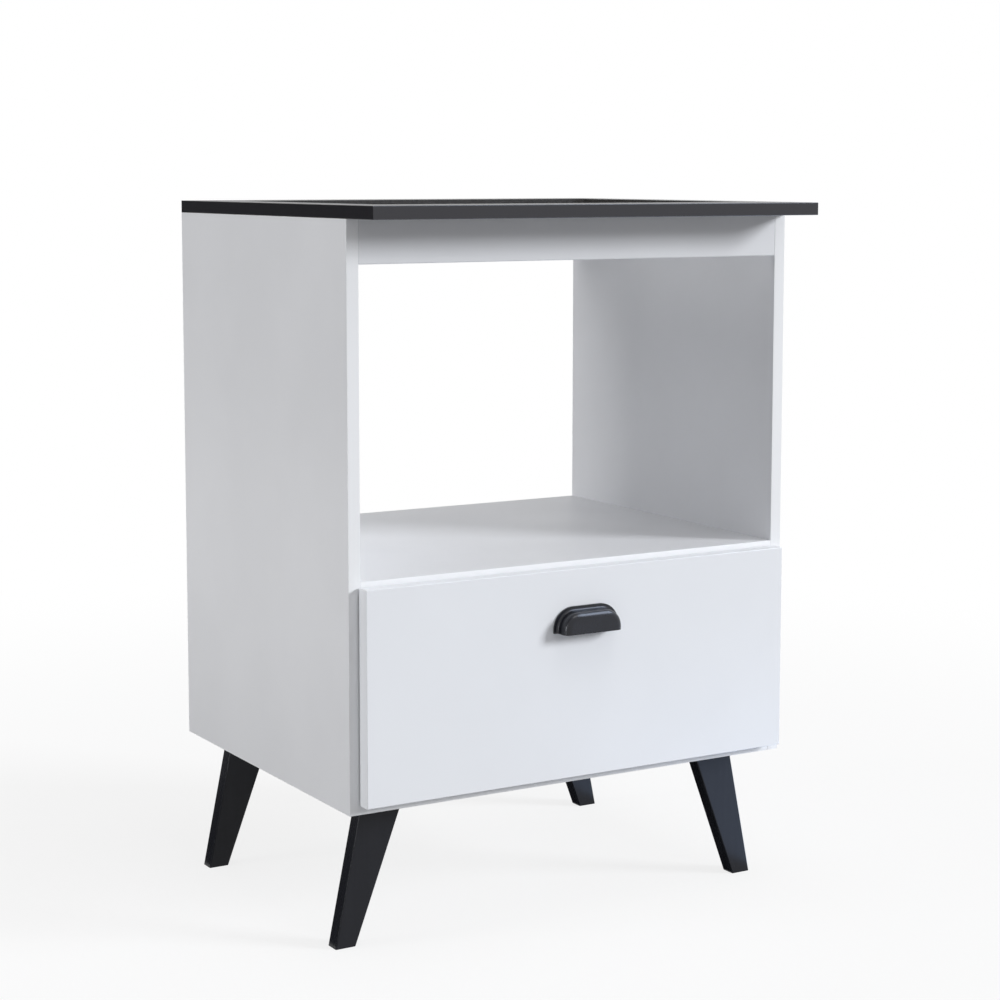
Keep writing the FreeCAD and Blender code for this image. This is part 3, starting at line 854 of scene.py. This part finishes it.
@dataclass
class Legs:
    """The four flat legs, which taper and splay outwards to their feet."""

    top_width: float = 55 * MM
    foot_width: float = 26 * MM
    side_rounding: float = 1.6 * MM
    foot_rounding: float = 0.6 * MM

    def model(self) -> Object:
        """Shapes a right leg, halfway between the front and the rear ones.

        Returns:
            The leg.
        """
        low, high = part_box("leg_front_right")
        reach = (high.y - low.y) / 2
        leg = add_block("leg", (low.x, -reach, low.z), (low.x + self.top_width, reach, high.z))
        clear_choice(leg, "VERT")
        for vertex in leg.data.vertices:
            vertex.select = vertex.co.z < (low.z + high.z) / 2
        bpy.ops.object.mode_set(mode="EDIT")
        bpy.ops.transform.resize(value=(self.foot_width / self.top_width, 1, 1),
                                 center_override=(low.x + self.top_width, 0, low.z))
        bpy.ops.transform.translate(value=(high.x - low.x - self.top_width, 0, 0))
        bpy.ops.object.mode_set(mode="OBJECT")
        round_edges(leg, self.side_rounding, 5, lambda a, b: abs(a.z - b.z) > MM)
        round_edges(leg, self.foot_rounding, 2, at_level(2, low.z))
        return dress(leg, LACQUER.material)

    def build(self) -> None:
        """Copies the leg to its four places: a left leg is a right one turned half round."""
        leg = self.model()
        for place in ("front", "rear"):
            for side in Side:
                node = f"leg_{place}_{side.value}"
                copy = copy_of(leg, f"{node}_lacquered", (0, middle_of(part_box(node)).y, 0),
                               (0, 0, math.pi if side is Side.LEFT else 0))
                hand_over(shade(copy), "cabinet", Slot.LACQUER, node)
        bpy.data.objects.remove(leg)


# Drawer

@dataclass
class DrawerBox:
    """The drawer's front, sides, back and bottom, with the soft pads behind the front."""

    front_rounding: float = 1 * MM
    back_arris: float = 0.3 * MM
    groove_depth: float = 7 * MM
    groove_play: float = 0.1 * MM
    pad_radius: float = 3.8 * MM
    pad_dome: float = 1.2 * MM
    pockets: CamPockets = CamPockets("drawer_cams")

    def groove(self, first: Point, second: Point) -> Object:
        """Models the cutter of a groove for the bottom sheet, which gives it its height."""
        low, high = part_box("drawer_bottom")
        return add_block("groove", (first[0], first[1], low.z),
                         (second[0], second[1], high.z + self.groove_play))

    def front(self) -> None:
        """Models the overlaid front, rounded all round its face."""
        low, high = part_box("drawer_front")
        front = add_block("front", low, high)
        round_edges(front, self.front_rounding, 5, at_level(1, low.y))
        dress(soften(front, self.back_arris, 2, 60), FOIL.material)
        sheet_low, sheet_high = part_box("drawer_bottom")
        groove = self.groove((sheet_low.x - self.groove_play, sheet_low.y - self.groove_play),
                             (sheet_high.x + self.groove_play, high.y + MM))
        carve(front, [dress(groove, CHIPBOARD.material)])
        hand_over(shade(settle(front, "drawer_front_board")), "drawer", Slot.MELAMINE,
                  "drawer_front")

    def side(self, side: Side) -> None:
        """Models one side, with its groove and its cam's pocket.

        Args:
            side: Which side it is.
        """
        node = f"drawer_side_{side.value}"
        low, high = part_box(node)
        inner = low.x if side is Side.RIGHT else high.x
        groove = self.groove((inner - side.sign * MM, low.y - MM),
                             (inner + side.sign * self.groove_depth, high.y + MM))
        board = Board(node, "drawer", (Edge.TOP,), (Edge.REAR, Edge.BOTTOM))
        board.build(groove, *self.pockets.cutters(node, -side.sign * RIGHT))

    def pads(self) -> None:
        """Models one domed pad and copies it to every place."""
        boxes = solids_of("drawer_bumpers")
        thickness = length_along(boxes[0], BACK)
        pad = add_rod("pad", (0, 0, 0), (0, thickness, 0), self.pad_radius, 32)
        round_edges(pad, self.pad_dome, 6, at_level(1, thickness))
        dress(pad, RUBBER.material)
        copies = [copy_of(pad, "pad", ((low.x + high.x) / 2, low.y, (low.z + high.z) / 2))
                  for low, high in boxes]
        bpy.data.objects.remove(pad)
        hand_over(shade(join("drawer_pads", copies), 60), "drawer", Slot.RUBBER,
                  "drawer_bumpers")

    def build(self) -> None:
        """Models the drawer's boards and pads."""
        self.front()
        for side in Side:
            self.side(side)
        Board("drawer_back", "drawer", (Edge.TOP,), (Edge.BOTTOM,)).build()
        dress_node("drawer_bottom", DRAWER_SHEET.material)
        self.pads()


@dataclass
class CupHandle:
    """The black cup handle: a rim on the drawer front, and a hollow cup that is open below."""

    corner_radius: float = 26 * MM
    rim_thickness: float = 2.5 * MM
    rim_step: float = 5 * MM
    neck_radius: float = 3 * MM
    neck_search: float = 0.2 * MM
    nose_radius: float = 8 * MM
    wall: float = 2 * MM
    lip_rounding: float = 0.5 * MM
    screw_spacing: float = 48 * MM
    boss_radius: float = 4 * MM

    def arch(self, name: str, inset: float, depth: float, nose: float = 0.0,
             drop: float = 0.0) -> Object:
        """Models an arched block against the drawer front.

        Args:
            name: The block's name.
            inset: How far it is drawn in from the rim's outline.
            depth: How far it stands out.
            nose: The radius that its front is rounded by, except at its foot.
            drop: How far it reaches below the handle.

        Returns:
            The block.
        """
        low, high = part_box("handle")
        top, front, foot = high.z - inset, high.y - depth, low.z - drop
        block = add_block(name, (low.x + inset, front, foot), (high.x - inset, high.y, top))
        round_edges(block, self.corner_radius - inset, 28, lambda a, b: (
            at_level(2, top)(a, b) and abs(a.y - b.y) > depth / 2))
        if nose:
            round_edges(block, nose, 12, lambda a, b: (
                at_level(1, front)(a, b) and max(a.z, b.z) > foot + TINY))
        return block

    def fill_neck(self, body: Object) -> None:
        """Rounds the inner corner where the cup rises from its rim.

        Args:
            body: The rim and the cup in one.
        """
        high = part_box("handle")[1]
        face = high.y - self.rim_thickness

        def at_neck(point: Vector) -> bool:
            """Whether a point lies on the rim's face, where the cup rises from it."""
            centre = Vector((math.copysign(high.x - self.corner_radius, point.x), 0,
                             high.z - self.corner_radius))
            away = Vector((point.x, 0, point.z)) - centre
            inset = high.x - abs(point.x) if away.z < TINY else self.corner_radius - away.length
            if abs(point.x) < abs(centre.x):
                inset = high.z - point.z
            return at_level(1, face)(point) and abs(inset - self.rim_step) < self.neck_search

        round_edges(body, self.neck_radius, 6, lambda a, b: at_neck(a) and at_neck(b))

    def build(self) -> None:
        """Models the handle and puts it in place of its CAD node."""
        low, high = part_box("handle")
        depth = high.y - low.y
        body = unite(self.arch("rim", 0, self.rim_thickness),
                     self.arch("bulge", self.rim_step, depth, self.nose_radius))
        self.fill_neck(body)
        carve(body, [self.arch("hollow", self.rim_step + self.wall, depth - self.wall,
                               self.nose_radius - self.wall, self.wall)])
        soften(body, self.lip_rounding, 3, 50)
        middle = (low.z + high.z) / 2
        bosses = []
        for side in Side:
            x = side.sign * self.screw_spacing / 2
            bosses.append(add_rod("boss", (x, high.y, middle),
                                  (x, low.y + self.wall / 2, middle), self.boss_radius))
        handle = dress(join("handle_cup", [body, *bosses]), HANDLE_BLACK.material)
        hand_over(shade(handle), "drawer", Slot.HANDLE, "handle")


# Runners

@dataclass
class RollerRunners:
    """The folded steel profiles on both sides, with their nylon rollers."""

    bore_radius: float = 2.05 * MM
    hub_radius: float = 4.4 * MM
    tyre: float = 2.2 * MM
    dish_depth: float = 0.7 * MM
    tyre_rounding: float = 0.7 * MM
    arris: float = 0.12 * MM

    def roller(self, radius: float, width: float) -> Object:
        """Models a roller about the origin: a tyre and a hub, with a dish between on each face.

        Args:
            radius: The roller's radius.
            width: Its width along X.

        Returns:
            The roller.
        """
        reach = width / 2
        wheel = add_rod("wheel", (-reach, 0, 0), (reach, 0, 0), radius, 72)
        soften(wheel, self.tyre_rounding, 4, 60)
        cutters = [add_rod("bore", (-width, 0, 0), (width, 0, 0), self.bore_radius, 32)]
        for side in Side:
            floor = side.sign * (reach - self.dish_depth)
            dish = add_rod("dish", (floor, 0, 0), (side.sign * width, 0, 0),
                           radius - self.tyre, 56)
            hub = add_rod("hub", (0, 0, 0), (2 * side.sign * width, 0, 0), self.hub_radius, 40)
            cutters.append(carve(dish, [hub]))
        return soften(carve(wheel, cutters), self.arris, 1, 60)

    def build(self) -> None:
        """Copies one roller of each size to both sides, and dresses the profiles."""
        for end in ("front", "rear"):
            low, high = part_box(f"{end}_roller_right")
            roller = self.roller((high.z - low.z) / 2, high.x - low.x)
            dress(roller, NYLON.material)
            for side in Side:
                node = f"{end}_roller_{side.value}"
                copy = copy_of(roller, f"{node}_wheel", middle_of(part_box(node)))
                hand_over(shade(copy), node, Slot.NYLON, node)
            bpy.data.objects.remove(roller)
        for side in Side:
            for profile in ("runner_channel", "runner_profile"):
                dress_node(f"{profile}_{side.value}", COATED_STEEL.material)


# Fasteners

def cross_recess(reach: float, width: float, depth: float) -> list[Object]:
    """Models the two arms that cut a cross recess into a head whose top is at the origin."""
    return [add_block("arm", (-x, -y, -depth), (x, y, MM))
            for x, y in ((reach, width / 2), (width / 2, reach))]


@dataclass
class Fastener:
    """A kind of fastener, which is modelled once and copied to the places of a node's solids."""

    node: str
    body: str
    into: Callable[[Vector], Vector]
    turn_step: float = 2.4

    def model(self, length: float) -> Object:
        """Models one fastener of a length, driven down from the origin."""
        raise NotImplementedError

    def build(self) -> None:
        """Copies the fastener to every place, each turned further than the last."""
        boxes = solids_of(self.node)
        pattern = self.model(length_along(boxes[0], self.into(middle_of(boxes[0]))))
        copies = []
        for index, box in enumerate(boxes):
            into = self.into(middle_of(box))
            top = middle_of(box) - into * length_along(box, into) / 2
            turn = into.to_track_quat("-Z", "Y") @ Quaternion(UP, index * self.turn_step)
            copies.append(copy_of(pattern, "fastener", top, turn.to_euler()))
        bpy.data.objects.remove(pattern)
        piece = dress(join(f"{self.node}_fitted", copies), ZINC.material)
        hand_over(shade(piece, 40), self.body, Slot.ZINC, self.node)


@dataclass
class Screws(Fastener):
    """Pan-head screws with a cross recess. The shares are of the head's or the shank's size."""

    head_radius: float = 3.5 * MM
    head_height: float = 1.1 * MM
    shank_radius: float = 2.0 * MM
    recess: float = 0.9 * MM
    dome_share: float = 0.7
    recess_depth_share: float = 0.7
    recess_reach_share: float = 0.55
    tip_share: float = 0.6

    def model(self, length: float) -> Object:
        """Models one screw, driven down from the origin.

        Args:
            length: Its whole length.

        Returns:
            The screw.
        """
        head = add_rod("head", (0, 0, -self.head_height), (0, 0, 0), self.head_radius, 32)
        round_edges(head, self.dome_share * self.head_height, 4, at_level(2, 0))
        carve(head, cross_recess(self.recess_reach_share * self.head_radius, self.recess,
                                 self.recess_depth_share * self.head_height))
        shank = add_rod("shank", (0, 0, -self.head_height), (0, 0, -length),
                        self.shank_radius, 20)
        round_edges(shank, self.tip_share * self.shank_radius, 2, at_level(2, -length))
        return join("screw", [head, shank])


@dataclass
class Cams(Fastener):
    """Round cast cams with a raised rim and a cross recess."""

    radius: float = 7.4 * MM
    rim: float = 0.9 * MM
    sink: float = 0.4 * MM
    recess: float = 1.5 * MM
    recess_reach: float = 3.4 * MM
    recess_depth: float = 1.9 * MM
    arris: float = 0.15 * MM

    def model(self, length: float) -> Object:
        """Models one cam, set down from the origin.

        Args:
            length: Its height.

        Returns:
            The cam.
        """
        drum = add_rod("drum", (0, 0, -length), (0, 0, 0), self.radius, 48)
        dish = add_rod("dish", (0, 0, -self.sink), (0, 0, MM), self.radius - self.rim, 48)
        arms = cross_recess(self.recess_reach, self.recess, self.recess_depth)
        return soften(carve(drum, [dish, *arms]), self.arris, 2, 60)


@dataclass
class Fittings:
    """Every screw, cam, bolt, dowel and rivet."""

    leg_head_radius: float = 5 * MM
    leg_head_height: float = 2.8 * MM
    leg_shank_radius: float = 2.5 * MM
    leg_recess: float = 1.3 * MM
    handle_head_radius: float = 4 * MM
    handle_head_height: float = 2.4 * MM

    @staticmethod
    def outwards(place: Vector) -> Vector:
        """Sideways, away from the cabinet's middle."""
        return Vector((math.copysign(1, place.x), 0, 0))

    @staticmethod
    def into_board(place: Vector) -> Vector:
        """The way that a carcass cam goes in: up into a panel, or outwards into a rail."""
        if place.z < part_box("front_rail")[0].z:
            return UP
        return -BACK if place.y < 0 else BACK

    def build(self) -> None:
        """Models the screws and cams, and dresses the rest."""
        Screws("leg_screws", "cabinet", lambda place: -UP, head_radius=self.leg_head_radius,
               head_height=self.leg_head_height, shank_radius=self.leg_shank_radius,
               recess=self.leg_recess).build()
        Screws("worktop_screws", "cabinet", lambda place: UP).build()
        Screws("runner_screws", "cabinet", self.outwards).build()
        Screws("drawer_profile_screws", "drawer", lambda place: UP).build()
        Screws("drawer_bottom_screws", "drawer", lambda place: UP).build()
        Screws("drawer_back_screws", "drawer", lambda place: -self.outwards(place)).build()
        Screws("handle_screws", "drawer", lambda place: -BACK,
               head_radius=self.handle_head_radius, head_height=self.handle_head_height).build()
        Cams("carcass_cams", "cabinet", self.into_board).build()
        Cams("drawer_cams", "drawer", self.outwards).build()
        for node in ("carcass_cam_bolts", "drawer_cam_bolts", "front_roller_rivets",
                     "rear_roller_rivets"):
            dress_node(node, ZINC.material)
        for node in ("carcass_dowels", "drawer_dowels"):
            dress_node(node, BEECH.material)


# Camera, light and floor

@dataclass(frozen=True)
class SoftLamp:
    """A soft rectangular lamp, aimed at the cabinet."""

    name: str
    bearing: float
    height: float
    distance: float
    size: Range
    power: float
    colour: Colour = (1.0, 1.0, 1.0)
    mirrored: bool = True
    aim: Triple = (0.0, 0.0, 0.45)

    def build(self) -> None:
        """Hangs the lamp at its bearing, in degrees to the right of the front, and its height."""
        data = bpy.data.lights.new(self.name, "AREA")
        data.shape = "RECTANGLE"
        data.size, data.size_y = self.size
        data.energy = self.power
        data.color = self.colour
        lamp = bpy.data.objects.new(self.name, data)
        bearing, height = math.radians(self.bearing), math.radians(self.height)
        away = Vector((math.sin(bearing) * math.cos(height), -math.cos(bearing) * math.cos(height),
                       math.sin(height)))
        lamp.location = Vector(self.aim) + away * self.distance
        lamp.rotation_euler = away.to_track_quat("Z", "Y").to_euler()
        lamp.visible_camera = False
        lamp.visible_glossy = self.mirrored
        bpy.context.scene.collection.objects.link(lamp)


@dataclass(frozen=True)
class Card:
    """A card that only reflections show and that lights nothing: black, it paints dark
    reflections; glowing, it paints highlights.
    """

    name: str
    middle: Triple
    size: Range
    turn: Triple = (0.0, 0.0, 0.0)
    glow: Colour = (0.0, 0.0, 0.0)

    def build(self) -> None:
        """Puts the card in its place."""
        select_only()
        bpy.ops.mesh.primitive_plane_add(size=1, location=self.middle, rotation=[
            math.radians(angle) for angle in self.turn])
        bpy.context.object.scale = (*self.size, 1)
        card = settle(bpy.context.object, self.name)
        recipe = Recipe(bpy.data.materials.new(self.name))
        dress(card, recipe.finish(Base_Color=(0.01, 0.01, 0.01, 1), Specular_IOR_Level=0.0,
                                  Roughness=1.0, Emission_Color=(*self.glow, 1),
                                  Emission_Strength=1.0))
        card.visible_camera = card.visible_diffuse = card.visible_shadow = False
        card.visible_transmission = card.visible_volume_scatter = False


@dataclass
class Studio:
    """The photographer's camera, soft lamps, white surround and pale floor."""

    camera_place: Triple = (-1.4222, -2.4086, 0.8871)
    turn: float = 30.763
    tilt: float = 6.474
    roll: float = -0.054
    lens: float = 81.65
    sensor_width: float = 36.0
    shift: float = -0.07
    clip: Range = (0.05, 100.0)
    surround: float = 0.33
    floor_colour: Colour = (0.98, 0.98, 0.985)
    floor_bounce: Colour = (0.40, 0.40, 0.405)
    floor_reach: float = 30.0
    floor_glow: float = 0.8
    floor_fade: Range = (0.5, 2.2)
    lamps: tuple[SoftLamp, ...] = (
        SoftLamp("key", 49, 20, 24.0, (6.4, 6.4), 4400, (0.95, 0.97, 1.0),
                 mirrored=False),
        SoftLamp("side", -99, 8, 4.0, (1.2, 2.0), 49),
        SoftLamp("top", 10, 72, 4.0, (1.8, 1.8), 24),
    )
    # Black flags paint dark reflections on the legs, the worktop's edges and the handle; the
    # right, high and left cards glow, though they are no lamps, and paint highlights on the legs
    # and the handle.
    cards: tuple[Card, ...] = (
        Card("upright flag", (-0.6, 1.05, 1.05), (2.7, 1.1), (90, 0, 90)),
        Card("low flag", (-0.6, 0.75, 0.07), (1.7, 0.14), (90, 0, 90)),
        Card("left floor flag", (-0.68, 0.35, 0.002), (0.758, 1.2)),
        Card("right floor flag", (0.1, 0.05, 0.002), (0.34, 0.5)),
        Card("right highlight card", (0.76, -0.35, 0.002), (0.9, 1.1), glow=(1.8, 2.2, 3.0)),
        Card("high highlight card", (2.25, -1.25, 3.5), (2.2, 2.5), (0, 40, -22), (6.2, 7.0, 8.6)),
        Card("left highlight card", (-2.9, -0.78, 0.9), (0.5, 1.8), (90, 0, -75), (7.0, 7.2, 7.8)),
    )

    def camera(self) -> None:
        """Sets the camera at the photograph's angle."""
        data = bpy.data.cameras.new("camera")
        data.lens = self.lens
        data.sensor_width = self.sensor_width
        data.shift_y = self.shift
        data.clip_start, data.clip_end = self.clip
        camera = bpy.data.objects.new("camera", data)
        camera.location = self.camera_place
        camera.rotation_euler = [math.radians(angle)
                                 for angle in (90 - self.tilt, self.roll, -self.turn)]
        bpy.context.scene.collection.objects.link(camera)
        bpy.context.scene.camera = camera

    def background(self) -> None:
        """Sets a soft surround that shows as plain white."""
        recipe = Recipe(bpy.data.worlds.new("studio"))
        bpy.context.scene.world = recipe.owner
        strength = recipe.spread(recipe.seen_directly(), self.surround, 1.0)
        recipe.fill(recipe.tree.nodes["Background"], Color=(1, 1, 1, 1), Strength=strength)

    def floor(self) -> None:
        """Lays a pale floor that keeps the cabinet's shadow and turns white further out."""
        select_only()
        bpy.ops.mesh.primitive_plane_add(size=2 * self.floor_reach)
        floor = bpy.context.object
        floor.name = "floor"
        recipe = Recipe(bpy.data.materials.new("pale floor"))
        recipe.tree.nodes.remove(recipe.tree.nodes["Principled BSDF"])
        seen = recipe.seen_directly()
        colour = recipe.blend(seen, (*self.floor_bounce, 1), (*self.floor_colour, 1))
        matt = recipe.add("BsdfDiffuse", Color=colour)
        glow = recipe.add("Emission", Color=(1, 1, 1, 1), Strength=1.0)
        away = recipe.compute("VectorMath", "LENGTH", recipe.place)
        near, far = self.floor_fade
        fade = recipe.add("MapRange", Value=away, From_Min=near, From_Max=far,
                          To_Min=self.floor_glow, To_Max=1.0)
        fade.interpolation_type = "SMOOTHSTEP"
        share = recipe.compute("Math", "MULTIPLY", fade.outputs["Result"], seen)
        mix = recipe.add("MixShader", Fac=share)
        recipe.give(mix.inputs[1], matt.outputs["BSDF"])
        recipe.give(mix.inputs[2], glow.outputs["Emission"])
        recipe.fill(recipe.tree.nodes["Material Output"], Surface=mix.outputs["Shader"])
        dress(floor, recipe.owner)

    def build(self) -> None:
        """Sets up the whole studio."""
        self.camera()
        self.background()
        self.floor()
        for fitting in (*self.lamps, *self.cards):
            fitting.build()
        bpy.context.scene.view_settings.view_transform = "Standard"


def main() -> None:
    """Builds the studio and every piece."""
    logging.basicConfig(level=logging.INFO, format="%(message)s")
    Studio().build()
    for assembly in (Carcass, Worktop, Legs, DrawerBox, CupHandle, RollerRunners, Fittings):
        log.info("%s", assembly.__name__)
        assembly().build()


if __name__ == "__main__":
    main()
